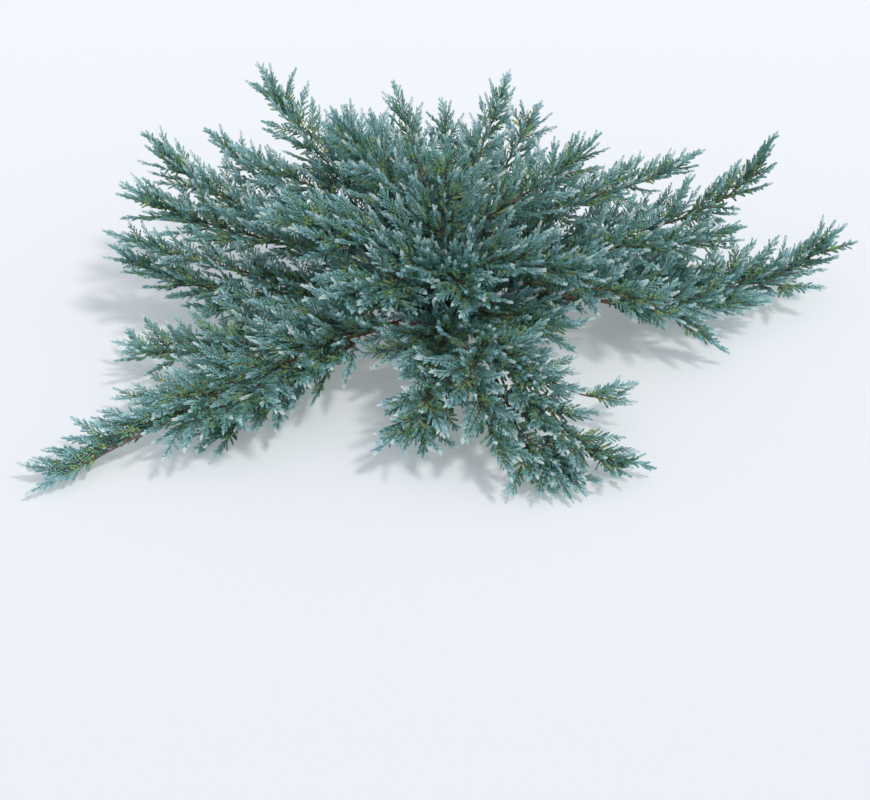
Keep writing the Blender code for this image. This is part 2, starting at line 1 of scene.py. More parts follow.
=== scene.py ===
"""The looks of a blue chip juniper, a low and spreading conifer shrub rooted in the ground.

The limbs and the masses of foliage follow the same table and rule as the solids. Each mass
is carried on here to finer twigs, to plumes on those twigs, and to branchlets on the plumes.
Lengths are in metres, angles in degrees, +Z is up and the viewer's side is -Y.
"""

import logging
import math
import random
from dataclasses import dataclass, field
from enum import Enum
from functools import cache

import bmesh
import bpy
import numpy as np
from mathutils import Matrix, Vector, noise


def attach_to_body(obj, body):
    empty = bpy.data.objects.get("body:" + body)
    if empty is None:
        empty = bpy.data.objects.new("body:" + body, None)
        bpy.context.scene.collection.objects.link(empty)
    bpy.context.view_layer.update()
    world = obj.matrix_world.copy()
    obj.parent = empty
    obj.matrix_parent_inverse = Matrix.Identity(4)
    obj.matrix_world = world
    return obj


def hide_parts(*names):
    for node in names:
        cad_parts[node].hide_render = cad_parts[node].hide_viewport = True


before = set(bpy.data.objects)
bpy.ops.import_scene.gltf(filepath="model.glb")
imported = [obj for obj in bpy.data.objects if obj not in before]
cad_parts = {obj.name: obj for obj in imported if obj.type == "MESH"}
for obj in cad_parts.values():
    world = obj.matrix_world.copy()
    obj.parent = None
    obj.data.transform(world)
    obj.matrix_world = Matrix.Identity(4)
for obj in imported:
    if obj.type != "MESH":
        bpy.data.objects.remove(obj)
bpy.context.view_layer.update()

log = logging.getLogger("juniper")

BODY = "root"
MOST_TRIANGLES = 190000
LEAST_LENGTH = 1e-9
UP = np.array((0.0, 0.0, 1.0))


@dataclass(frozen=True)
class Tip:
    """Where a mass ends, seen from the trunk's foot, how it swings there, and how full it is."""

    azimuth: float
    reach: float
    height: float
    swing: float = 0.0
    girth: float = 1.0

    def place(self) -> np.ndarray:
        """Give the tip as a point."""
        return toward(self.azimuth, 0) * self.reach + UP * self.height


@dataclass(frozen=True)
class Bough:
    """A bough: how it leaves the trunk, its tip, how it arrives, and its side masses."""

    name: str
    leave: float
    attach: float
    rise: float
    tip: Tip
    arrive: float
    bare: float
    sides: tuple[Tip, ...]


BOUGHS = (
    Bough("front_left", 238, 0.046, 30, Tip(216, 0.736, 0.014, 5, 0.85), -3, 0.26,
          (Tip(222, 0.494, 0.014, 16, 0.8), Tip(203, 0.550, 0.028, -26, 0.75),
           Tip(189, 0.530, 0.045, -18, 0.8))),
    Bough("left_low", 194, 0.070, 18, Tip(171, 0.558, 0.125, -16, 0.8), 30, 0.18,
          (Tip(180, 0.422, 0.060, 0, 0.6),)),
    Bough("left", 160, 0.044, 36, Tip(163, 0.557, 0.190, 2), 28, 0.18,
          (Tip(174, 0.550, 0.165, 4, 0.6),)),
    Bough("left_back", 150, 0.074, 30, Tip(154, 0.560, 0.245, -4, 0.8), 46, 0.18,
          (Tip(148, 0.422, 0.235, 0, 0.6),)),
    Bough("back_left", 128, 0.050, 46, Tip(131, 0.485, 0.315, -4, 0.7), 44, 0.18,
          (Tip(142, 0.519, 0.215, 0, 0.5), Tip(120, 0.386, 0.240))),
    Bough("back", 98, 0.072, 40, Tip(101, 0.430, 0.150, 8), 4, 0.18,
          (Tip(113, 0.325, 0.262, 0, 0.8), Tip(91, 0.377, 0.245, 0, 0.45))),
    Bough("back_right", 66, 0.048, 44, Tip(67, 0.424, 0.235, -6, 0.6), 24, 0.18,
          (Tip(80, 0.340, 0.230, 0, 0.65), Tip(55, 0.379, 0.190, 0, 0.8))),
    Bough("right_back", 32, 0.074, 20, Tip(21, 0.579, 0.266, 6, 0.75), 74, 0.20,
          (Tip(37, 0.414, 0.200, 0, 0.5), Tip(25, 0.466, 0.240, 0, 0.5))),
    Bough("right", 12, 0.048, 14, Tip(14.5, 0.689, 0.115, 8), 48, 0.20,
          (Tip(12, 0.497, 0.150, 0, 0.8), Tip(2, 0.525, 0.060, -15, 0.9))),
    Bough("right_low", 352, 0.076, 28, Tip(350, 0.454, 0.026, -12, 0.5), -34, 0.22,
          (Tip(355, 0.372, 0.060, -25, 0.8),)),
    Bough("front_right", 318, 0.050, 38, Tip(324, 0.250, 0.070), -24, 0.24,
          (Tip(331, 0.224, 0.095),)),
    Bough("front", 290, 0.078, 32, Tip(290, 0.463, 0.014, 4, 1.05), -4, 0.42,
          (Tip(282, 0.454, 0.050), Tip(309, 0.482, 0.020, 42, 0.65), Tip(327, 0.349, 0.045, 62, 0.55),
           Tip(295, 0.475, 0.014, 14, 0.95))),
    Bough("front_middle", 270, 0.050, 34, Tip(255, 0.390, 0.045, -50, 0.85), -18, 0.30,
          (Tip(265, 0.367, 0.032), Tip(241, 0.228, 0.075, 0, 1.3))),
)

LEADER_RING_RADIUS = 0.0105
CROWN_TIPS = (
    Tip(89, 0.131, 0.300),
    Tip(71, 0.324, 0.330, 0, 0.5),
    Tip(40, 0.330, 0.262, 0, 0.7),
    Tip(340, 0.269, 0.200),
    Tip(285, 0.220, 0.205, 0, 1.1),
    Tip(225, 0.261, 0.190, 0, 1.1),
    Tip(182, 0.290, 0.245),
    Tip(132, 0.278, 0.310, 0, 0.8),
    Tip(108, 0.276, 0.330, 7, 0.45),
)


def toward(azimuth: float, rise: float) -> np.ndarray:
    """Give the unit direction of an azimuth and a rise above the level.

    Args:
        azimuth: Degrees round from +X towards +Y.
        rise: Degrees above the level.

    Returns:
        The direction.
    """
    level = math.cos(math.radians(rise))
    return np.array((
        level * math.cos(math.radians(azimuth)),
        level * math.sin(math.radians(azimuth)),
        math.sin(math.radians(rise)),
    ))


def unit(vector: np.ndarray) -> np.ndarray:
    """Scale a vector, or each row of an array, to unit length.

    Args:
        vector: A vector, or rows of vectors.

    Returns:
        The same directions at length one.
    """
    length = np.linalg.norm(vector, axis=-1, keepdims=True)
    return vector / np.maximum(length, LEAST_LENGTH)


def curve_point(start: np.ndarray, leave: np.ndarray, arrive: np.ndarray, end: np.ndarray,
                t: float) -> np.ndarray:
    """Give a point on a curve that leaves and arrives along two handles.

    Args:
        start: First point.
        leave: Handle out of the first point.
        arrive: Handle into the last point.
        end: Last point.
        t: Share of the way.

    Returns:
        The point.
    """
    s = 1 - t
    return s ** 3 * start + 3 * s * s * t * (start + leave) + 3 * s * t * t * (end - arrive) + t ** 3 * end


def turned(vector: np.ndarray, axis: np.ndarray, degrees: float) -> np.ndarray:
    """Turn a vector round an axis.

    Args:
        vector: The vector.
        axis: Unit axis.
        degrees: Angle of the turn.

    Returns:
        The turned vector.
    """
    angle = math.radians(degrees)
    across = np.cross(axis, vector)
    along = axis * np.dot(axis, vector)
    return vector * math.cos(angle) + across * math.sin(angle) + along * (1 - math.cos(angle))


def side_and_upper(along: np.ndarray) -> tuple[np.ndarray, np.ndarray]:
    """Give the level side and the upper direction square to a direction.

    Args:
        along: Unit direction.

    Returns:
        The side and the upper direction.
    """
    side = np.cross(along, UP)
    if np.linalg.norm(side) < 1e-6:
        side = np.array((1.0, 0.0, 0.0))
    side = unit(side)
    return side, unit(np.cross(side, along))


def linear(red: int, green: int, blue: int) -> tuple[float, float, float]:
    """Give a screen colour in linear light.

    Args:
        red: Red from 0 to 255.
        green: Green from 0 to 255.
        blue: Blue from 0 to 255.

    Returns:
        The linear colour.
    """
    shares = [value / 255 for value in (red, green, blue)]
    return tuple(s / 12.92 if s <= 0.04045 else ((s + 0.055) / 1.055) ** 2.4 for s in shares)


def deselect() -> None:
    """Leave nothing selected, in object mode."""
    if bpy.context.mode != "OBJECT":
        bpy.ops.object.mode_set(mode="OBJECT")
    bpy.ops.object.select_all(action="DESELECT")


class Line:
    """A line through points, read by distance."""

    def __init__(self, points: np.ndarray) -> None:
        """Keep the points and the distance to each.

        Args:
            points: Points along the line.
        """
        self.points = np.asarray(points, float)
        spans = np.linalg.norm(np.diff(self.points, axis=0), axis=1)
        self.marks = np.concatenate(([0.0], np.cumsum(spans)))
        self.total = float(self.marks[-1])

    def at(self, distance: float) -> tuple[np.ndarray, np.ndarray]:
        """Give the point and direction at a distance.

        Args:
            distance: Distance from the line's start.

        Returns:
            The point and the unit direction there.
        """
        place = min(max(distance, 0.0), self.total)
        index = int(np.clip(np.searchsorted(self.marks, place) - 1, 0, len(self.points) - 2))
        span = self.points[index + 1] - self.points[index]
        share = (place - self.marks[index]) / max(self.marks[index + 1] - self.marks[index], LEAST_LENGTH)
        return self.points[index] + span * share, unit(span)


class Tint(Enum):
    """The colours of the needles, from the frosted tips down to the shaded inside."""

    FROST = "frost"
    BLUE = "blue"
    TEAL = "teal"
    SEA = "sea"
    GREEN = "green"
    YOUNG = "young"
    # The darkest tint: a deep colour with painted shade, for the inside of the masses.
    DEEP_AND_SHADE = "deep_and_shade"


@dataclass(frozen=True)
class NeedleFinish:
    """Waxy needles of one plain colour."""

    tint: Tint
    colour: tuple[float, float, float]
    roughness: float = 0.55
    specular: float = 0.35

    def material(self) -> bpy.types.Material:
        """Make the material.

        Returns:
            The needles' material.
        """
        made = bpy.data.materials.new("needles_" + self.tint.value)
        made.use_nodes = True
        shader = made.node_tree.nodes["Principled BSDF"]
        shader.inputs["Base Color"].default_value = (*self.colour, 1)
        shader.inputs["Roughness"].default_value = self.roughness
        shader.inputs["Specular IOR Level"].default_value = self.specular
        return made


NEEDLE_FINISHES = {
    Tint.FROST: NeedleFinish(Tint.FROST, linear(240, 251, 249), 0.62, 0.25),
    Tint.BLUE: NeedleFinish(Tint.BLUE, linear(190, 229, 231), 0.58),
    Tint.TEAL: NeedleFinish(Tint.TEAL, linear(157, 206, 207), 0.56),
    Tint.SEA: NeedleFinish(Tint.SEA, linear(137, 188, 183), 0.55),
    Tint.GREEN: NeedleFinish(Tint.GREEN, linear(135, 181, 154), 0.54),
    Tint.YOUNG: NeedleFinish(Tint.YOUNG, linear(176, 208, 142), 0.52),
    # Painted shade: the darkest tint darkens the inside of the masses beyond their own colour.
    Tint.DEEP_AND_SHADE: NeedleFinish(Tint.DEEP_AND_SHADE, linear(86, 127, 124), 0.60),
}


@dataclass(frozen=True)
class BarkFinish:
    """Fibrous bark whose strips run in two tones, with a bump."""

    name: str
    dark: tuple[float, float, float]
    light: tuple[float, float, float]
    grain: float
    roughness: float = 0.85
    detail: float = 6
    grain_roughness: float = 0.62
    tone_ends: tuple[float, float] = (0.36, 0.66)
    bump_strength: float = 0.5
    bump_depth: float = 0.0012

    @cache
    def material(self) -> bpy.types.Material:
        """Make the material, once for all pieces of the same bark.

        Returns:
            The bark's material.
        """
        made = bpy.data.materials.new(self.name)
        made.use_nodes = True
        nodes = made.node_tree.nodes
        links = made.node_tree.links
        shader = nodes["Principled BSDF"]
        place = nodes.new("ShaderNodeTexCoord")
        fibres = nodes.new("ShaderNodeTexNoise")
        fibres.inputs["Scale"].default_value = self.grain
        fibres.inputs["Detail"].default_value = self.detail
        fibres.inputs["Roughness"].default_value = self.grain_roughness
        links.new(place.outputs["Object"], fibres.inputs["Vector"])
        ramp = nodes.new("ShaderNodeValToRGB")
        for tone, share, colour in zip(ramp.color_ramp.elements, self.tone_ends, (self.dark, self.light)):
            tone.position = share
            tone.color = (*colour, 1)
        links.new(fibres.outputs["Fac"], ramp.inputs["Fac"])
        links.new(ramp.outputs["Color"], shader.inputs["Base Color"])
        bump = nodes.new("ShaderNodeBump")
        bump.inputs["Strength"].default_value = self.bump_strength
        bump.inputs["Distance"].default_value = self.bump_depth
        links.new(fibres.outputs["Fac"], bump.inputs["Height"])
        links.new(bump.outputs["Normal"], shader.inputs["Normal"])
        shader.inputs["Roughness"].default_value = self.roughness
        return made


TRUNK_BARK = BarkFinish("trunk_bark", linear(58, 40, 32), linear(128, 98, 80), 420)
BOUGH_BARK = BarkFinish("bough_bark", linear(72, 46, 36), linear(140, 102, 80), 520)
STEM_BARK = BarkFinish("stem_bark", linear(108, 78, 64), linear(156, 116, 98), 640, 0.75)
TWIG_BARK = BarkFinish("twig_bark", linear(134, 90, 70), linear(150, 124, 88), 160, 0.7)


@dataclass
class Trunk:
    """Short leaning trunk with a lobed root flare, cut flat at the ground."""

    height: float = 0.100
    radius: float = 0.0195
    swell: float = 0.0035
    flare: float = 0.014
    flare_height: float = 0.016
    lobes: int = 5
    lobe_depth: float = 0.16
    lean: tuple[float, float] = (-0.09, 0.05)
    top_radius: float = 0.0165
    sides: int = 40
    rings: int = 34
    crowding: float = 1.4
    cap_share: float = 0.985
    relief: float = 0.0016
    strips_round: float = 5
    strips_up: float = 28

    def axis(self, height: float) -> np.ndarray:
        """Give the centre of the trunk at a height."""
        return np.array((self.lean[0] * height, self.lean[1] * height, height))

    def radius_at(self, height: float, angle: float) -> float:
        """Give the trunk's radius, with its flare and the swelling at its fork.

        Args:
            height: Height above the ground.
            angle: Direction round the trunk, in radians.

        Returns:
            The radius.
        """
        flare = math.exp(-height / self.flare_height)
        lobes = 1 + self.lobe_depth * flare * math.cos(self.lobes * angle)
        swell = self.swell * math.sin(math.pi * min(1, height / self.height)) ** 2
        return (self.radius + self.flare * flare + swell) * lobes

    def ring(self, height: float) -> np.ndarray:
        """Give one ring of the trunk's skin, with the relief of its bark strips.

        Args:
            height: Height of the ring.

        Returns:
            The ring's points.
        """
        points = []
        for step in range(self.sides):
            angle = 2 * math.pi * step / self.sides
            radius = self.radius_at(height, angle)
            if height > self.height * self.cap_share:
                radius = self.top_radius
            outward = np.array((math.cos(angle), math.sin(angle), 0))
            place = Vector(outward * self.strips_round) + Vector((0, 0, height * self.strips_up))
            radius += self.relief * noise.noise(place)
            points.append(self.axis(height) + outward * radius)
        return np.array(points)

    def build(self) -> bpy.types.Object:
        """Model the trunk and dress it.

        Returns:
            The trunk's object.
        """
        heights = [self.height * (i / (self.rings - 1)) ** self.crowding for i in range(self.rings)]
        piece = extruded("trunk_skin", [self.ring(height) for height in heights])
        dress(piece, TRUNK_BARK.material())
        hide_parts("trunk")
        return piece


TRUNK = Trunk()


@dataclass
class Limb:
    """One tapering bough, and the stems that fork off it."""

    bough: Bough
    root_radius: float = 0.0068
    tip_radius: float = 0.0040
    least_size: float = 0.62
    bow: float = 0.36
    full_reach: float = 0.60
    gap: float = 0.0003
    fork_spacing: float = 0.012
    fork_lift: float = 0.25
    fork_bow: float = 0.34
    fork_forward: float = 0.5
    fork_across: float = 0.62
    look_back: float = 0.1
    swing_of_forward: float = 60
    swing_of_double_bow: float = 110
    stem_radius: float = 0.0028
    sides: int = 14
    rings: int = 26
    relief: float = 0.0007
    strips_round: float = 2.2
    strips_along: float = 5
    samples: int = 24

    def start(self) -> np.ndarray:
        """Find the centre of the bough's root face, just clear of the trunk.

        Returns:
            The centre.
        """
        outward = toward(self.bough.leave, 0)
        centre = TRUNK.axis(self.bough.attach)
        skin = 0.0
        for share in (-1, -0.5, 0, 0.5, 1):
            height = self.bough.attach + share * self.root_radius
            lean = float(np.dot(TRUNK.axis(height) - centre, outward))
            skin = max(skin, lean + TRUNK.radius_at(height, math.radians(self.bough.leave)))
        return centre + outward * (skin + self.gap)

    def route(self, t: float) -> np.ndarray:
        """Give the point at a share of the way from the trunk to the tip.

        Args:
            t: Share of the way.

        Returns:
            The point.
        """
        start = self.start()
        end = self.bough.tip.place()
        handle = self.bow * float(np.linalg.norm(end - start))
        leave = toward(self.bough.leave, self.bough.rise) * handle
        arrive = toward(self.bough.tip.azimuth + self.bough.tip.swing, self.bough.arrive) * handle
        return curve_point(start, leave, arrive, end, t)

    def radius_at(self, share: float) -> float:
        """Give the bough's radius, thinner on the short ones and towards the fork."""
        size = min(1, self.least_size + (1 - self.least_size) * self.bough.tip.reach / self.full_reach)
        return size * (self.root_radius + (self.tip_radius - self.root_radius) * share)

    def build(self) -> bpy.types.Object:
        """Model the bough ring by ring, with its bark's relief, and dress it.

        Returns:
            The bough's object.
        """
        shares = [i / (self.rings - 1) for i in range(self.rings)]
        points = [self.route(self.bough.bare * share) for share in shares]
        rings = []
        for index, (share, point) in enumerate(zip(shares, points)):
            ahead = points[min(index + 1, len(points) - 1)]
            behind = points[max(index - 1, 0)]
            side, upper = side_and_upper(unit(ahead - behind))
            if index == 0:
                upper = np.cross(side, toward(self.bough.leave, 0))
            rings.append(self.ring(point, side, upper, share))
        piece = extruded("bough_" + self.bough.name + "_skin", rings)
        dress(piece, BOUGH_BARK.material())
        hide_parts("bough_" + self.bough.name)
        return piece

    def ring(self, point: np.ndarray, side: np.ndarray, upper: np.ndarray, share: float) -> np.ndarray:
        """Give one ring of the bough's skin.

        Args:
            point: Centre of the ring.
            side: Level direction square to the bough.
            upper: Upper direction square to the bough.
            share: Share of the way along the bare stretch.

        Returns:
            The ring's points.
        """
        ring = []
        for step in range(self.sides):
            angle = 2 * math.pi * step / self.sides
            place = Vector((math.cos(angle) * self.strips_round + self.bough.leave,
                            math.sin(angle) * self.strips_round, share * self.strips_along))
            radius = self.radius_at(share) + self.relief * noise.noise(place)
            ring.append(point + radius * (math.cos(angle) * side + math.sin(angle) * upper))
        return np.array(ring)

    def line(self, first: float, last: float) -> Line:
        """Give the stretch of the bough's middle line between two shares of the way."""
        shares = [first + (last - first) * i / self.samples for i in range(self.samples + 1)]
        return Line(np.array([self.route(share) for share in shares]))

    def fork_stem(self, number: int, tip: Tip) -> Line:
        """Give the stem of a side mass, from beside the bough's end to the mass's tip.

        Args:
            number: Number of the side mass, from 1.
            tip: Tip of the side mass.

        Returns:
            The stem.
        """
        length = float(np.linalg.norm(self.route(self.bough.bare) - self.route(0)))
        share = 1 - self.fork_spacing * (number - 0.5) / length
        fork = self.route(self.bough.bare * share)
        along = unit(fork - self.route(self.bough.bare * (share - self.look_back)))
        end = tip.place()
        away = unit(end - fork)
        across = unit(away - along * np.dot(away, along))
        forward = self.fork_forward + abs(tip.swing) / self.swing_of_forward
        leave = unit(along * forward + across * self.fork_across)
        start = fork + across * (self.radius_at(share) + self.stem_radius) + leave * self.gap
        bow = self.fork_bow * (1 + abs(tip.swing) / self.swing_of_double_bow)
        handle = bow * float(np.linalg.norm(end - start))
        leave = leave * handle + UP * self.fork_lift * handle
        arrive = unit(turned(away, UP, tip.swing) + UP * self.fork_lift) * handle
        return Line(np.array([curve_point(start, leave, arrive, end, i / self.samples)
                              for i in range(self.samples + 1)]))


@dataclass(frozen=True)
class Leader:
    """A stem that rises from the trunk's top and leans out to its tip."""

    tip: Tip
    from_centre: float
    bow: float = 0.40
    leave_rise: float = 72
    arrive_rise: float = 38
    samples: int = 24

    def stem(self) -> Line:
        """Give the leader's middle line.

        Returns:
            The stem.
        """
        foot = self.tip.azimuth - self.tip.swing
        start = TRUNK.axis(TRUNK.height) + toward(foot, 0) * self.from_centre
        end = self.tip.place()
        handle = self.bow * float(np.linalg.norm(end - start))
        leave = toward(foot, self.leave_rise) * handle
        arrive = toward(self.tip.azimuth, self.arrive_rise) * handle
        return Line(np.array([curve_point(start, leave, arrive, end, i / self.samples)
                              for i in range(self.samples + 1)]))


def extruded(name: str, rings: list[np.ndarray], smooth_below: float = 50) -> bpy.types.Object:
    """Model a limb from a filled circle that is extruded ring by ring.

    Args:
        name: Name of the piece.
        rings: The points of each ring.
        smooth_below: Edges that turn less than this many degrees are shaded smooth.

    Returns:
        The limb's object.
    """
    deselect()
    bpy.ops.mesh.primitive_circle_add(vertices=len(rings[0]), fill_type="NGON", location=(0, 0, 0))
    piece = bpy.context.object
    piece.name = piece.data.name = name
    for vertex, point in zip(piece.data.vertices, rings[0]):
        vertex.co = point
    bpy.ops.object.mode_set(mode="EDIT")
    bpy.ops.mesh.select_mode(type="FACE")
    bpy.ops.mesh.select_all(action="SELECT")
    for before, ring in zip(rings, rings[1:]):
        step = ring.mean(axis=0) - before.mean(axis=0)
        bpy.ops.mesh.extrude_region_move(TRANSFORM_OT_translate={"value": tuple(step)})
        shape = bmesh.from_edit_mesh(piece.data)
        for vertex in [v for v in shape.verts if v.select]:
            nearest = int(np.argmin(np.linalg.norm(before + step - np.array(vertex.co), axis=1)))
            vertex.co = ring[nearest]
        bmesh.update_edit_mesh(piece.data)
    bpy.ops.mesh.select_all(action="SELECT")
    bpy.ops.mesh.normals_make_consistent(inside=False)
    bpy.ops.object.mode_set(mode="OBJECT")
    bpy.ops.object.shade_smooth_by_angle(angle=math.radians(smooth_below))
    return piece


def dress(piece: bpy.types.Object, material: bpy.types.Material) -> None:
    """Give a piece its material and its body.

    Args:
        piece: The piece.
        material: Its material.
    """
    piece.data.materials.clear()
    piece.data.materials.append(material)
    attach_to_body(piece, BODY)


def joined_piece(name: str, points: np.ndarray, faces: np.ndarray, smooth: bool) -> bpy.types.Object:
    """Make one piece from arrays of points and triangles.

    Args:
        name: Name of the piece.
        points: Its points.
        faces: Its triangles, as numbers of points.
        smooth: Whether it is shaded smooth.

    Returns:
        The piece.
    """
    mesh = bpy.data.meshes.new(name)
    mesh.vertices.add(len(points))
    mesh.vertices.foreach_set("co", np.ascontiguousarray(points, np.float32).ravel())
    mesh.loops.add(len(faces) * 3)
    mesh.loops.foreach_set("vertex_index", np.ascontiguousarray(faces, np.int32).ravel())
    mesh.polygons.add(len(faces))
    mesh.polygons.foreach_set("loop_start", np.arange(0, len(faces) * 3, 3, dtype=np.int32))
    mesh.update(calc_edges=True)
    mesh.polygons.foreach_set("use_smooth", np.full(len(faces), smooth))
    piece = bpy.data.objects.new(name, mesh)
    bpy.context.scene.collection.objects.link(piece)
    return piece


@dataclass
class Tubes:
    """Many thin stems and twigs, gathered and then made as one joined mesh."""

    sides: int
    point_length: float = 3
    lowest: float = 0.0006
    points: list[np.ndarray] = field(default_factory=list)
    faces: list[np.ndarray] = field(default_factory=list)
    count: int = 0

    def add(self, line: np.ndarray, root: float, end: float) -> None:
        """Add a tapering tube with a pointed end.

        Args:
            line: Points of its middle line.
            root: Radius at its root.
            end: Radius before its point.
        """
        number = len(line)
        ahead = line[np.minimum(np.arange(number) + 1, number - 1)]
        behind = line[np.maximum(np.arange(number) - 1, 0)]
        along = unit(ahead - behind)
        side = np.cross(along, UP)
        flat = np.linalg.norm(side, axis=1) < 1e-6
        side[flat] = (1.0, 0.0, 0.0)
        side = unit(side)
        upper = np.cross(side, along)
        angles = 2 * np.pi * np.arange(self.sides) / self.sides
        radii = np.linspace(root, end, number)[:, None, None]
        outward = np.cos(angles)[:, None] * side[:, None] + np.sin(angles)[:, None] * upper[:, None]
        rings = line[:, None] + radii * outward
        tip = line[-1] + along[-1] * end * self.point_length
        self.points.append(np.vstack((rings.reshape(-1, 3), tip)))
        ring, step = np.meshgrid(np.arange(number - 1), np.arange(self.sides), indexing="ij")
        a = (ring * self.sides + step).ravel()
        b = (ring * self.sides + (step + 1) % self.sides).ravel()
        lower = np.stack((a, b, b + self.sides), 1)
        upper = np.stack((a, b + self.sides, a + self.sides), 1)
        cone = np.stack((a[-self.sides:] + self.sides, b[-self.sides:] + self.sides,
                         np.full(self.sides, number * self.sides)), 1)
        self.faces.append(np.vstack((lower, upper, cone)) + self.count)
        self.count += number * self.sides + 1

    def build(self, name: str, finish: BarkFinish, slot: str) -> bpy.types.Object:
        """Make the joined piece and dress it.

        Args:
            name: Name of the piece.
            finish: Its bark.
            slot: Not used.

        Returns:
            The piece.
        """
        points = np.vstack(self.points)
        points[:, 2] = np.maximum(points[:, 2], self.lowest)
        piece = joined_piece(name, points, np.vstack(self.faces), True)
        dress(piece, finish.material())
        return piece


class Part(Enum):
    """The parts of a branchlet, each with its own step towards the pale end of the colours."""

    INNER = -0.13
    OUTER = 0.0
    END = 0.16


WING_LIMIT = 0.1


@dataclass
class Branchlet:
    """The small finger of needles that every plume is made of, in crossed pairs."""

    length: float = 0.030
    whorls: int = 5
    inner_whorls: int = 2
    needles: int = 2
    needle_length: float = 0.36
    needle_width: float = 0.115
    fold: float = 0.026
    belly: float = 0.38
    opening: tuple[float, float] = (15, 9)
    last: float = 0.66
    end_turn: float = 0.4
    thin: float = 0.55

    def select(self, bud: bpy.types.Object, wings: bool) -> None:
        """Select the two wings of the needle's circle, or its root and tip.

        Args:
            bud: The circle, in edit mode.
            wings: Whether to select the wings.
        """
        bpy.ops.mesh.select_all(action="DESELECT")
        shape = bmesh.from_edit_mesh(bud.data)
        for vertex in shape.verts:
            vertex.select = (abs(vertex.co.y) > WING_LIMIT) == wings
        shape.select_flush(True)
        bmesh.update_edit_mesh(bud.data)

    def needle(self) -> tuple[np.ndarray, np.ndarray]:
        """Model one awl-shaped needle from a four-sided circle, folded along its rib.

        Returns:
            Its points, as shares of the branchlet's length along +X, and its triangles.
        """
        deselect()
        bpy.ops.mesh.primitive_circle_add(vertices=4, radius=0.5, fill_type="NGON", location=(0.5, 0, 0))
        bud = bpy.context.object
        bpy.ops.object.transform_apply(location=True)
        bpy.ops.object.mode_set(mode="EDIT")
        bpy.ops.mesh.select_mode(type="VERT")
        self.select(bud, wings=True)
        bpy.ops.transform.translate(value=(self.belly - 0.5, 0, self.fold / self.needle_length))
        self.select(bud, wings=False)
        bpy.ops.mesh.vert_connect_path()
        bpy.ops.object.mode_set(mode="OBJECT")
        points = np.array([vertex.co for vertex in bud.data.vertices])
        faces = np.array([tuple(face.vertices) for face in bud.data.polygons])
        points[:, 1] *= self.needle_width / self.needle_length
        bpy.data.objects.remove(bud)
        return points * self.needle_length, faces

    def arrays(self) -> dict[Part, tuple[np.ndarray, np.ndarray]]:
        """Set the needle in whorls along the branchlet, which is one long along +X.

        Returns:
            The points and triangles of each part of the branchlet.
        """
        places = {part: [] for part in Part}
        for whorl in range(self.whorls):
            share = whorl / (self.whorls - 1)
            part = Part.INNER if whorl < self.inner_whorls else Part.OUTER
            opening = self.opening[0] + (self.opening[1] - self.opening[0]) * share
            for number in range(self.needles):
                turn = 2 * math.pi * (number + 0.5 * (whorl % 2)) / self.needles
                places[part].append((self.last * share, turn, math.radians(opening)))
        places[Part.END].append((self.last, self.end_turn, 0.0))
        needle = self.needle()
        return {part: self.set_needles(needle, found) for part, found in places.items()}

    def set_needles(self, needle: tuple[np.ndarray, np.ndarray],
                    places: list[tuple[float, float, float]]) -> tuple[np.ndarray, np.ndarray]:
        """Copy the needle to its places on the branchlet.

        Args:
            needle: The needle's points and triangles.
            places: The distance, turn and opening of each copy, the angles in radians.

        Returns:
            The points and triangles of all copies.
        """
        shape, triangles = needle
        points = []
        faces = []
        for place, turn, opening in places:
            x = shape[:, 0] * math.cos(opening) - shape[:, 2] * math.sin(opening)
            z = shape[:, 0] * math.sin(opening) + shape[:, 2] * math.cos(opening)
            y = shape[:, 1]
            faces.append(triangles + len(points) * len(shape))
            points.append(np.stack((
                x + place,
                y * math.cos(turn) - z * math.sin(turn),
                y * math.sin(turn) + z * math.cos(turn),
            ), 1))
        return np.vstack(points), np.vstack(faces)


@dataclass(frozen=True)
class Fingers:
    """How the branchlets stand on a plume, from its root to its pointed end."""

    spacing: float = 0.0036
    fewest: int = 8
    start: float = 0.6
    reach: float = 0.93
    opening: tuple[float, float] = (43, 24)
    opening_spread: float = 7
    tilt: float = 12
    tilt_spread: float = 24
    root_size: float = 0.55
    root_growth: float = 2.4
    taper: float = 0.64
    size_spread: float = 0.20
    leader_length: float = 0.017
    leader_share: float = 0.89
    leader_frost: float = 0.16
    leader_width: float = 1.30
    clearance: float = 0.004


@dataclass(frozen=True)
class Gap:
    """A wedge near the ground that the photo shows bare."""

    azimuth: float
    half_width: float
    reaches: tuple[float, float]
    height: float

    def holds(self, point: np.ndarray) -> bool:
        """Tell whether a point is in the gap.

        Args:
            point: The point.

        Returns:
            Whether the gap holds it.
        """
        azimuth = math.degrees(math.atan2(point[1], point[0]))
        apart = abs((azimuth - self.azimuth + 180) % 360 - 180)
        reach = math.hypot(point[0], point[1])
        return (apart < self.half_width and point[2] < self.height
                and self.reaches[0] < reach < self.reaches[1])


GAPS = (
    Gap(244, 6, (0.25, 0.40), 0.13),
    Gap(250, 5, (0.20, 0.33), 0.09),
    Gap(277, 5, (0.34, 0.44), 0.07),
    Gap(308, 4, (0.34, 0.42), 0.08),
    Gap(318, 9, (0.21, 0.34), 0.11),
    Gap(351, 17, (0.225, 0.32), 0.10),
)


@dataclass(frozen=True)
class Plume:
    """One feathery spray: where it starts, where it heads, its flat side and its length."""

    root: np.ndarray
    heading: np.ndarray
    flat: np.ndarray
    length: float
    sway: np.ndarray
    age: float

    def point(self, share: float) -> np.ndarray:
        """Give the point at a share of the plume's bent stem."""
        return self.root + (self.heading * share + self.sway * share * share) * self.length


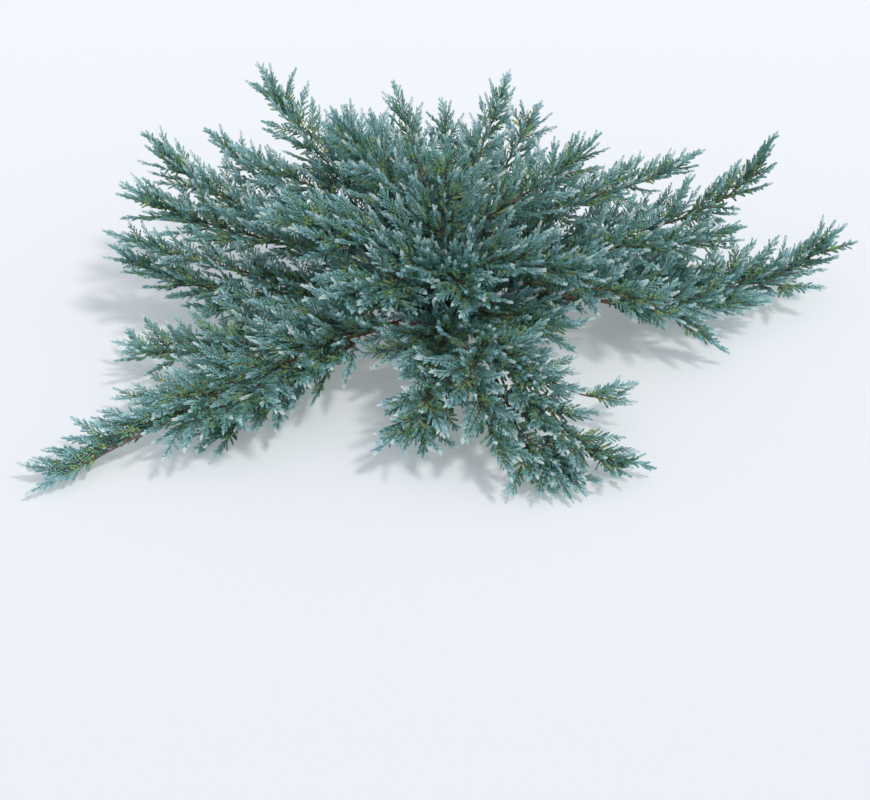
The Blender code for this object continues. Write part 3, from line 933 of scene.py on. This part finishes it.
@dataclass
class Habit:
    """The plant's way of growing: how twigs and plumes follow each other."""

    seed: int = 20
    lift: float = 0.12
    to_light: tuple[float, float, float] = (0.0, -0.25, 0.02)
    lowest_tip: float = 0.010
    highest_tip: float = 0.338

    # Plumes, and the room that each one needs
    plume_length: float = 0.108
    shortest_plume: float = 0.034
    length_spread: tuple[float, float] = (0.72, 1.12)
    sway: float = 0.20
    sway_up: tuple[float, float] = (0.02, 0.13)
    margin: float = 0.016
    room_share: float = 0.5
    gap_share: float = 0.8

    # Twigs along a stem
    spacing: float = 0.0075
    first_step: tuple[float, float] = (0.4, 0.9)
    step_spread: float = 0.15
    end_stretch: float = 0.50
    turns: tuple[float, ...] = (94, -94, 30, -76, 76, -30)
    turn_spread: float = 22
    one_sided: str = "foliage_front_left"
    one_sided_from: float = 0.56
    opening: float = 46
    closing: float = 27
    opening_spread: float = 13
    longest_twig: float = 0.162
    shortest_twig: float = 0.105
    twig_share: float = 0.46
    twig_spread: float = 0.15
    taper: float = 0.72
    point: float = 0.88
    upright_cut: float = 0.52
    roll: float = 35
    free_roll_height: float = 0.060
    twig_from: float = 1.12
    spare_plume: float = 0.8
    twig_overlap: float = 0.01
    twig_radii: tuple[float, float] = (0.0016, 0.0009)

    # Side plumes on a twig
    side_spacing: float = 0.0185
    side_first: float = 0.6
    side_last: float = 0.7
    side_spread: float = 8
    side_length: float = 0.76

    # Shoots on the bare stretch of a bough
    inner_start: float = 0.12
    inner_spacing: float = 0.0062
    inner_turns: tuple[float, ...] = (0, 70, -70, 25, -35)
    inner_turn_spread: float = 20
    inner_opening: tuple[float, float] = (30, 60)
    inner_roll: float = 60
    inner_length: tuple[float, float] = (0.6, 1.0)

    # The collar of shoots round the trunk
    collar_mass: str = "foliage_crown_1"
    collar_shoots: int = 110
    golden_angle: float = 137.5
    collar_foot: float = 0.30
    collar_rise: tuple[float, float] = (-8, 70)
    collar_rise_spread: float = 8
    collar_depth: float = 0.9
    collar_roll: float = 50
    collar_sway: tuple[float, float] = (-0.05, 0.12)
    collar_length: tuple[float, float] = (0.75, 1.1)


HABIT = Habit()


class Space:
    """The room of each mass: what is nearer to its own stem than to any other."""

    def __init__(self, stems: list[Line]) -> None:
        """Keep the pieces of every stem.

        Args:
            stems: The stems of all masses.
        """
        self.starts = np.vstack([stem.points[:-1] for stem in stems])
        self.spans = np.vstack([np.diff(stem.points, axis=0) for stem in stems])
        self.owner = np.concatenate([np.full(len(stem.points) - 1, i) for i, stem in enumerate(stems)])
        self.squares = np.maximum((self.spans ** 2).sum(axis=1), 1e-12)

    def is_own(self, number: int, point: np.ndarray, margin: float) -> bool:
        """Tell whether a point belongs to a mass.

        Args:
            number: The mass's number.
            point: The point.
            margin: How much nearer another stem may be.

        Returns:
            Whether the mass may use it.
        """
        shares = np.clip(((point - self.starts) * self.spans).sum(axis=1) / self.squares, 0, 1)
        distances = np.linalg.norm(point - self.starts - self.spans * shares[:, None], axis=1)
        mine = self.owner == number
        return float(distances[mine].min()) <= float(distances[~mine].min()) + margin


@dataclass
class Mass:
    """One mass of foliage: a stem with twigs, and the plumes that they carry.

    Its girth is the length of its twigs as a share of the usual. A mass that carries a bough on
    also has the bare stretch of that bough, and space is the room of all masses.
    """

    number: int
    name: str
    stem: Line
    girth: float
    space: Space
    bare: Line | None
    plumes: list[Plume] = field(default_factory=list)
    twigs: list[np.ndarray] = field(default_factory=list)

    def __post_init__(self) -> None:
        """Give the mass its own seed."""
        self.chance = random.Random(HABIT.seed + self.number)

    def about(self, spread: float) -> float:
        """Draw a number between minus and plus a spread."""
        return self.chance.uniform(-spread, spread)

    def add_plume(self, root: np.ndarray, heading: np.ndarray, flat: np.ndarray, length: float) -> bool:
        """Add a plume where it has room.

        Args:
            root: Its root.
            heading: Its direction.
            flat: The direction that its flat side looks in.
            length: Its length.

        Returns:
            Whether it was added.
        """
        length = max(length, HABIT.shortest_plume)
        if not self.space.is_own(self.number, root + heading * length * HABIT.room_share, HABIT.margin):
            return False
        if any(gap.holds(root + heading * length * HABIT.gap_share) for gap in GAPS):
            return False
        across = np.cross(flat, heading)
        sway = UP * self.chance.uniform(*HABIT.sway_up) + across * self.about(HABIT.sway)
        floor = (HABIT.lowest_tip - root[2]) / length
        ceiling = (HABIT.highest_tip - root[2]) / length
        heading = heading.copy()
        heading[2] = min(max(heading[2], floor - sway[2]), ceiling - sway[2])
        self.plumes.append(Plume(root, unit(heading), flat, length, sway, self.chance.random()))
        return True

    def grow(self) -> None:
        """Grow the last plume, then the twigs one by one along the stem."""
        root, _ = self.stem.at(self.stem.total - HABIT.plume_length)
        tip = self.stem.points[-1]
        heading = unit(tip - root)
        self.plumes.append(Plume(root, heading, side_and_upper(heading)[1],
                                 float(np.linalg.norm(tip - root)), UP * 0.0, self.chance.random()))
        distance = HABIT.spacing * self.chance.uniform(*HABIT.first_step)
        step = 0
        while distance < self.stem.total - HABIT.plume_length * HABIT.end_stretch:
            self.grow_twig(distance, step)
            distance += HABIT.spacing * (1 + self.about(HABIT.step_spread))
            step += 1
        if self.bare:
            self.grow_inner()
        if self.name == HABIT.collar_mass:
            self.grow_collar()

    def grow_collar(self) -> None:
        """Grow a collar of shoots round the trunk and over its top, where the boughs fork."""
        chance = self.chance
        for step in range(HABIT.collar_shoots):
            azimuth = step * HABIT.golden_angle
            share = step / HABIT.collar_shoots
            height = TRUNK.height * (HABIT.collar_foot + (1 - HABIT.collar_foot) * share)
            rise = np.interp(share, (0, 1), HABIT.collar_rise) + self.about(HABIT.collar_rise_spread)
            heading = toward(azimuth, rise)
            root = TRUNK.axis(height) + toward(azimuth, 0) * TRUNK.radius * HABIT.collar_depth
            flat = unit(np.cross(np.cross(heading, UP), heading))
            flat = unit(turned(flat, heading, self.about(HABIT.collar_roll)))
            sway = UP * chance.uniform(*HABIT.collar_sway)
            length = HABIT.plume_length * chance.uniform(*HABIT.collar_length)
            self.plumes.append(Plume(root, heading, flat, length, sway, chance.random()))

    def grow_inner(self) -> None:
        """Grow short shoots on the bare stretch of the bough, upwards and to its sides."""
        distance = HABIT.inner_start * self.bare.total
        step = 0
        while distance < self.bare.total:
            root, along = self.bare.at(distance)
            side, upper = side_and_upper(along)
            turn = HABIT.inner_turns[step % len(HABIT.inner_turns)]
            turn = math.radians(turn + self.about(HABIT.inner_turn_spread))
            outward = side * math.sin(turn) + upper * math.cos(turn)
            opening = math.radians(self.chance.uniform(*HABIT.inner_opening))
            heading = unit(along * math.cos(opening) + outward * math.sin(opening) + UP * HABIT.lift)
            flat = unit(np.cross(heading, np.cross(UP, heading) + along * 0.01))
            flat = unit(turned(flat, heading, self.about(HABIT.inner_roll)))
            length = HABIT.plume_length * self.chance.uniform(*HABIT.inner_length)
            self.add_plume(root, heading, flat, length)
            distance += HABIT.inner_spacing
            step += 1

    def grow_twig(self, distance: float, step: int) -> None:
        """Grow one twig with its plumes, or only a plume where the twig is short.

        Args:
            distance: Distance of its root along the stem.
            step: Its number, which sets the side that it grows to.
        """
        chance = self.chance
        root, along = self.stem.at(distance)
        side, upper = side_and_upper(along)
        share = distance / self.stem.total
        turn = math.radians(HABIT.turns[step % len(HABIT.turns)] + self.about(HABIT.turn_spread))
        to_light = np.array(HABIT.to_light)
        if self.name == HABIT.one_sided and share > HABIT.one_sided_from:
            turn = abs(turn)
            to_light = np.zeros(3)
        outward = side * math.sin(turn) + upper * math.cos(turn)
        opening = math.radians(HABIT.opening - HABIT.closing * share ** 3 + self.about(HABIT.opening_spread))
        heading = along * math.cos(opening) + outward * math.sin(opening)
        heading = unit(heading + UP * HABIT.lift + to_light)
        length = min(HABIT.longest_twig, max(HABIT.shortest_twig, HABIT.twig_share * self.stem.total))
        length *= (1 - HABIT.taper * share ** 2) * (1 - HABIT.upright_cut * max(0, math.cos(turn)))
        length = self.girth * min(length, HABIT.point * (self.stem.total - distance) / math.cos(opening))
        length *= 1 + self.about(HABIT.twig_spread)
        heading = heading.copy()
        heading[2] = max(heading[2], (HABIT.lowest_tip - root[2]) / length)
        heading = unit(heading)
        roll = self.about(HABIT.roll) * min(1, root[2] / HABIT.free_roll_height)
        flat = unit(np.cross(unit(along - heading * np.dot(along, heading)), heading))
        flat = unit(turned(flat, heading, roll))
        plume_length = min(length, HABIT.plume_length * chance.uniform(*HABIT.length_spread))
        if length < HABIT.plume_length * HABIT.twig_from:
            self.add_plume(root, heading, flat, plume_length)
            return
        end = root + heading * (length - plume_length)
        if not self.add_plume(end, heading, flat, plume_length):
            self.add_plume(root, heading, flat, HABIT.plume_length * HABIT.spare_plume)
            return
        self.twigs.append(np.array([root, end + heading * HABIT.twig_overlap]))
        across = np.cross(flat, heading)
        hand = chance.choice((-1, 1))
        place = HABIT.side_spacing * HABIT.side_first
        while place < length - plume_length * HABIT.side_last:
            angle = math.radians(HABIT.opening + self.about(HABIT.side_spread))
            side_heading = unit(heading * math.cos(angle) + across * hand * math.sin(angle))
            self.add_plume(root + heading * place, side_heading, flat, plume_length * HABIT.side_length)
            hand = -hand
            place += HABIT.side_spacing


@dataclass
class Foliage:
    """All masses, joined by colour into pieces."""

    masses: list[Mass]
    branchlet: Branchlet = field(default_factory=Branchlet)
    fingers: Fingers = field(default_factory=Fingers)
    lowest: float = 0.0007
    pale_by_share: float = 0.62
    pale_by_age: float = 0.34
    pale_spread: float = 0.10
    steps: tuple[float, ...] = (0.14, 0.24, 0.36, 0.52, 0.68, 0.86)

    def tint_of(self, made: dict[str, np.ndarray], part: Part, chance: np.random.Generator) -> np.ndarray:
        """Deal out the colours: green at a plume's foot, where the darkest tint is painted shade, blue and
        frosted at its end.

        Args:
            made: Every branchlet's place.
            part: The part of the branchlet.
            chance: The seeded draws.

        Returns:
            The number of the tint of each branchlet's part.
        """
        value = made["share"] * self.pale_by_share + made["age"] * self.pale_by_age + part.value
        value += made["leads"] * self.fingers.leader_frost + chance.normal(0, self.pale_spread, len(value))
        # The lowest values, at the feet of plumes and on the inner whorls, take the darkest tint, which is
        # painted shade.
        order = (Tint.DEEP_AND_SHADE, Tint.YOUNG, Tint.GREEN, Tint.SEA, Tint.TEAL, Tint.BLUE, Tint.FROST)
        numbers = np.array([list(Tint).index(tint) for tint in order])
        return numbers[np.searchsorted(self.steps, value)]

    def branchlets(self) -> dict[str, np.ndarray]:
        """Work out every branchlet of every plume.

        Returns:
            Arrays of roots, directions, flat sides, lengths, shares, ages, which ones lead, and widths.
        """
        rule = self.fingers
        chance = np.random.default_rng(HABIT.seed)
        plumes = [plume for mass in self.masses for plume in mass.plumes]
        counts = np.array([max(rule.fewest, round(plume.length / rule.spacing)) for plume in plumes])
        owner = np.repeat(np.arange(len(plumes)), counts)
        index = np.concatenate([np.arange(count) for count in counts])
        share = (index + rule.start) / counts[owner]
        last = index == counts[owner] - 1
        root, heading, flat, sway, length, age = (
            np.array([getattr(plume, name) for plume in plumes])[owner]
            for name in ("root", "heading", "flat", "sway", "length", "age"))
        share = np.where(last, rule.leader_share, share * rule.reach)
        base = root + (heading * share[:, None] + sway * (share ** 2)[:, None]) * length[:, None]
        along = unit(heading + 2 * sway * share[:, None])
        side = unit(np.cross(flat, along))
        flat = np.cross(along, side)
        hand = np.where(index % 2 == 0, 1.0, -1.0)
        closing = rule.opening[0] - rule.opening[1]
        spread = chance.normal(0, rule.opening_spread, len(share))
        opening = np.where(last, 0.0, np.radians(rule.opening[0] - closing * share + spread))
        tilt = np.radians(chance.normal(rule.tilt, rule.tilt_spread, len(share)))
        outward = side * (hand * np.cos(tilt))[:, None] + flat * np.sin(tilt)[:, None]
        direction = unit(along * np.cos(opening)[:, None] + outward * np.sin(opening)[:, None])
        size = np.minimum(1, rule.root_size + rule.root_growth * share) * (1 - rule.taper * share)
        scale = np.minimum(1, length / HABIT.plume_length) ** 0.5
        reach = self.branchlet.length * size * scale
        reach = reach * chance.uniform(1 - rule.size_spread, 1 + rule.size_spread, len(share))
        reach = np.where(last, rule.leader_length, reach)
        drop = base[:, 2] + direction[:, 2] * reach
        direction[:, 2] += np.maximum(0, rule.clearance - drop) / reach
        direction = unit(direction)
        return {
            "root": base,
            "direction": direction,
            "flat": flat,
            "length": reach,
            "share": share,
            "age": age,
            "leads": last,
            "width": np.where(last, rule.leader_width, 1.0),
        }

    def build(self) -> list[bpy.types.Object]:
        """Make the needles' pieces, one or more of each colour.

        Returns:
            The pieces.
        """
        shapes = self.branchlet.arrays()
        made = self.branchlets()
        chance = np.random.default_rng(HABIT.seed + 1)
        tints = {part: self.tint_of(made, part, chance) for part in Part}
        pieces = []
        for number, name in enumerate(Tint):
            material = NEEDLE_FINISHES[name].material()
            points = []
            faces = []
            for part, (shape, triangles) in shapes.items():
                group = np.flatnonzero(tints[part] == number)
                points.append(self.copies(shape, made, group))
                faces.append(np.broadcast_to(triangles, (len(group), *triangles.shape)))
            for piece in self.split(name, points, faces):
                dress(piece, material)
                pieces.append(piece)
                log.info("%s: %d faces", piece.name, len(piece.data.polygons))
        nodes = [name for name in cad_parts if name.startswith("foliage_")]
        for piece in pieces:
            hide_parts(*nodes)
        return pieces

    def split(self, tint: Tint, points: list[np.ndarray], faces: list[np.ndarray]) -> list[bpy.types.Object]:
        """Join the copies of one colour into as few pieces as the limit on triangles allows.

        Args:
            tint: The colour.
            points: For each part, the points of every copy.
            faces: For each part, the triangles of every copy, as numbers of its own points.

        Returns:
            The pieces.
        """
        total = sum(found.shape[0] * found.shape[1] for found in faces)
        number = max(1, math.ceil(total / MOST_TRIANGLES))
        pieces = []
        for index in range(number):
            chosen_points = []
            chosen_faces = []
            count = 0
            for places, triangles in zip(points, faces):
                chosen = places[index::number]
                start = count + np.arange(len(chosen))[:, None, None] * places.shape[1]
                chosen_points.append(chosen.reshape(-1, 3))
                chosen_faces.append((triangles[index::number] + start).reshape(-1, 3))
                count += len(chosen) * places.shape[1]
            name = "needles_{}_{}".format(tint.value, index + 1)
            pieces.append(joined_piece(name, np.vstack(chosen_points), np.vstack(chosen_faces), False))
        return pieces

    def copies(self, points: np.ndarray, made: dict[str, np.ndarray], group: np.ndarray) -> np.ndarray:
        """Copy one part of the branchlet to its places.

        Args:
            points: The part's points.
            made: Every branchlet's place.
            group: Numbers of the branchlets to copy it to.

        Returns:
            The points of each copy.
        """
        along = made["direction"][group]
        length = made["length"][group]
        side = unit(np.cross(made["flat"][group], along))
        upper = np.cross(along, side)
        thin = self.branchlet.thin
        width = (thin * self.branchlet.length + (1 - thin) * length) * made["width"][group]
        x = points[:, 0][None, :, None] * (along * length[:, None])[:, None]
        y = points[:, 1][None, :, None] * (side * width[:, None])[:, None]
        z = points[:, 2][None, :, None] * (upper * width[:, None])[:, None]
        places = made["root"][group][:, None] + x + y + z
        places[:, :, 2] = np.maximum(places[:, :, 2], self.lowest)
        return places


@dataclass
class Studio:
    """Pale floor, soft light and the camera, at the photo's angle."""

    lens: float = 75.0
    distance: float = 2.95
    elevation: float = 33.0
    focal_pixels: float = 1812.0
    centre: tuple[float, float] = (435.0, 400.0)
    foot_pixel: tuple[float, float] = (447.0, 338.0)
    sensor: float = 36.0
    floor_radius: float = 40.0
    floor_drop: float = 0.0004
    floor_colour: tuple[float, float, float] = (0.90, 0.905, 0.93)
    glow_near: tuple[float, float] = (-0.9, 0.18)
    glow_far: tuple[float, float] = (1.2, 0.24)
    sky: tuple[float, float, float] = (0.85, 0.915, 1.0)
    sky_strength: float = 0.54
    sun_strength: float = 1.12
    sun_colour: tuple[float, float, float] = (1.0, 0.985, 0.955)
    sun_angle: float = 9.0
    sun_turn: tuple[float, float, float] = (15.0, 26.5, 0.0)

    def camera(self) -> None:
        """Make the camera and set it."""
        data = bpy.data.cameras.new("camera")
        data.lens = self.lens
        data.sensor_width = self.sensor
        view = bpy.data.objects.new("camera", data)
        yaw = math.atan((self.foot_pixel[0] - self.centre[0]) / self.focal_pixels)
        rise = math.radians(self.elevation)
        pitch = rise + math.atan((self.centre[1] - self.foot_pixel[1]) / self.focal_pixels)
        view.location = (0, -self.distance * math.cos(rise), self.distance * math.sin(rise))
        view.rotation_euler = (math.pi / 2 - pitch, 0, yaw)
        bpy.context.scene.collection.objects.link(view)
        bpy.context.scene.camera = view

    def floor(self) -> None:
        """Make the pale floor, whose own light grows with the distance from the camera."""
        deselect()
        bpy.ops.mesh.primitive_circle_add(vertices=96, radius=self.floor_radius, fill_type="NGON",
                                          location=(0, 0, -self.floor_drop))
        floor = bpy.context.object
        floor.name = "floor"
        made = bpy.data.materials.new("pale_floor")
        made.use_nodes = True
        nodes = made.node_tree.nodes
        links = made.node_tree.links
        place = nodes.new("ShaderNodeTexCoord")
        axes = nodes.new("ShaderNodeSeparateXYZ")
        links.new(place.outputs["Object"], axes.inputs["Vector"])
        glow = nodes.new("ShaderNodeMapRange")
        links.new(axes.outputs["Y"], glow.inputs["Value"])
        for end, (depth, strength) in (("Min", self.glow_near), ("Max", self.glow_far)):
            glow.inputs["From " + end].default_value = depth
            glow.inputs["To " + end].default_value = strength
        shader = nodes["Principled BSDF"]
        links.new(glow.outputs["Result"], shader.inputs["Emission Strength"])
        shader.inputs["Base Color"].default_value = (*self.floor_colour, 1)
        shader.inputs["Roughness"].default_value = 0.9
        shader.inputs["Specular IOR Level"].default_value = 0.1
        shader.inputs["Emission Color"].default_value = (*self.floor_colour, 1)
        floor.data.materials.append(made)

    def lights(self) -> None:
        """Make the soft sky, and a light from above on the right and a little in front."""
        world = bpy.data.worlds.new("soft_sky")
        world.use_nodes = True
        background = world.node_tree.nodes["Background"]
        background.inputs["Color"].default_value = (*self.sky, 1)
        background.inputs["Strength"].default_value = self.sky_strength
        bpy.context.scene.world = world
        data = bpy.data.lights.new("sun", "SUN")
        data.energy = self.sun_strength
        data.color = self.sun_colour
        data.angle = math.radians(self.sun_angle)
        sun = bpy.data.objects.new("sun", data)
        sun.rotation_euler = [math.radians(angle) for angle in self.sun_turn]
        bpy.context.scene.collection.objects.link(sun)

    def build(self) -> None:
        """Set up the whole studio."""
        self.floor()
        self.lights()
        self.camera()
        bpy.context.scene.view_settings.view_transform = "Standard"


def all_masses() -> list[Mass]:
    """Lay out every mass of foliage on its stem, in the solids' order.

    Returns:
        The masses, not grown yet.
    """
    named = []
    for bough in BOUGHS:
        limb = Limb(bough)
        stem = limb.line(bough.bare, 1)
        named.append(("foliage_" + bough.name, stem, bough.tip.girth, limb.line(0, bough.bare)))
        for number, tip in enumerate(bough.sides, 1):
            side_name = "foliage_{}_side_{}".format(bough.name, number)
            named.append((side_name, limb.fork_stem(number, tip), tip.girth, None))
    for number, tip in enumerate(CROWN_TIPS, 1):
        leader = Leader(tip, LEADER_RING_RADIUS if number > 1 else 0.0)
        named.append(("foliage_crown_{}".format(number), leader.stem(), tip.girth, None))
    space = Space([stem for _, stem, _, _ in named])
    return [Mass(number, name, stem, girth, space, bare)
            for number, (name, stem, girth, bare) in enumerate(named)]


STEM_SHORT_OF_TIP = 0.8
STEM_SHARES = np.linspace(0, 1, 21)
STEM_RADII = (0.0028, 0.0012)
RIB_SHARES = np.linspace(0, 0.93, 5)
RIB_RADII = (0.0012, 0.0006)


def build_stems(masses: list[Mass]) -> list[bpy.types.Object]:
    """Make the stems of the masses, the twigs, and the stems of the plumes.

    Args:
        masses: The grown masses.

    Returns:
        The pieces.
    """
    stems = Tubes(sides=6)
    twigs = Tubes(sides=4)
    ribs = Tubes(sides=3)
    for mass in masses:
        reach = mass.stem.total - HABIT.plume_length * STEM_SHORT_OF_TIP
        stems.add(np.array([mass.stem.at(share * reach)[0] for share in STEM_SHARES]), *STEM_RADII)
        for line in mass.twigs:
            twigs.add(line, *HABIT.twig_radii)
        for plume in mass.plumes:
            ribs.add(np.array([plume.point(share) for share in RIB_SHARES]), *RIB_RADII)
    return [
        stems.build("stems", STEM_BARK, "bough_bark"),
        twigs.build("twigs", STEM_BARK, "bough_bark"),
        ribs.build("plume_ribs", TWIG_BARK, "bough_bark"),
    ]


def main() -> None:
    """Build the plant and its studio."""
    logging.basicConfig(level=logging.INFO, format="%(name)s: %(message)s")
    log.info("trunk: %s", TRUNK.build().name)
    for bough in BOUGHS:
        log.info("bough: %s", Limb(bough).build().name)
    masses = all_masses()
    for mass in masses:
        mass.grow()
    log.info("plumes: %d", sum(len(mass.plumes) for mass in masses))
    for piece in build_stems(masses):
        log.info("%s: %d faces", piece.name, len(piece.data.polygons))
    Foliage(masses).build()
    Studio().build()


if __name__ == "__main__":
    main()
